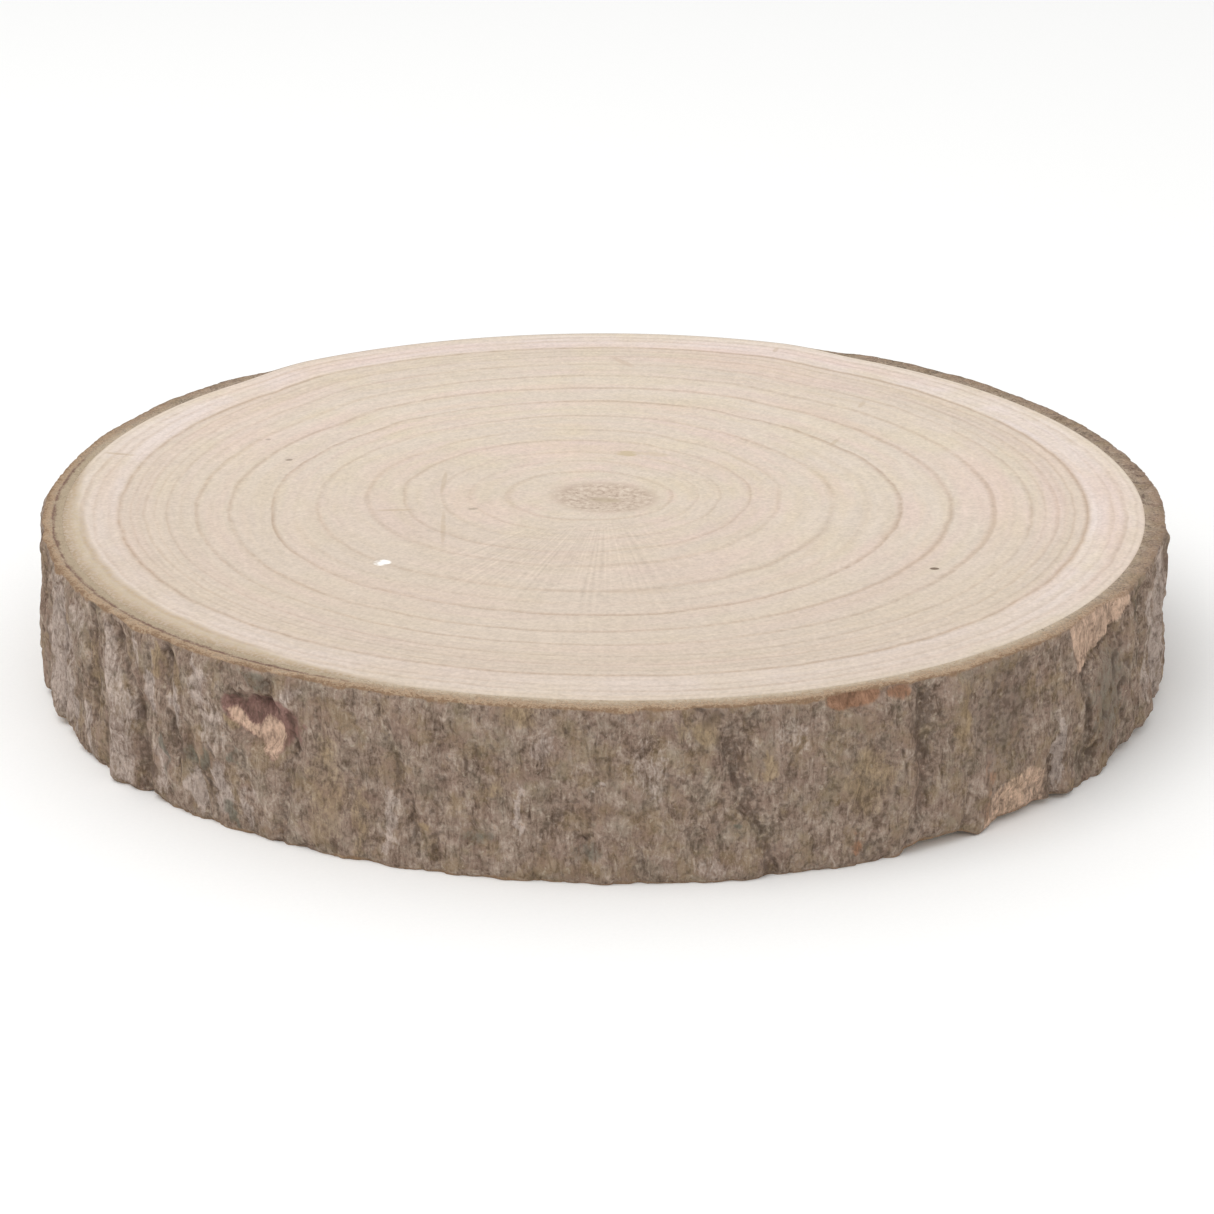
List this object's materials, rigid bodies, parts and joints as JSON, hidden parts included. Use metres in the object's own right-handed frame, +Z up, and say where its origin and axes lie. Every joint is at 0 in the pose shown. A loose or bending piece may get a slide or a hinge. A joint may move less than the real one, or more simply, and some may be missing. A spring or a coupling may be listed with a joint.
{
  "type": "wood slice",
  "caption": "Round slice sawn across a tree trunk, with pale ringed wood, a small pith and furrowed grey-brown bark round its edge; lies flat as a base, board or riser.",
  "frame": {"origin": "under the middle of the slice, on the flat underside it rests on", "axes": "+Z up, square to both sawn faces; -Y towards the front of the picture, +X to its right"},
  "size_m": [0.2525, 0.2518, 0.037],
  "materials": {
    "wood": "sawn and sanded, dry, matt",
    "bark": "rough weathered bark, matt"
  },
  "bodies": {
    "root": {"wood_slice": "wood"}
  },
  "joints": []
}
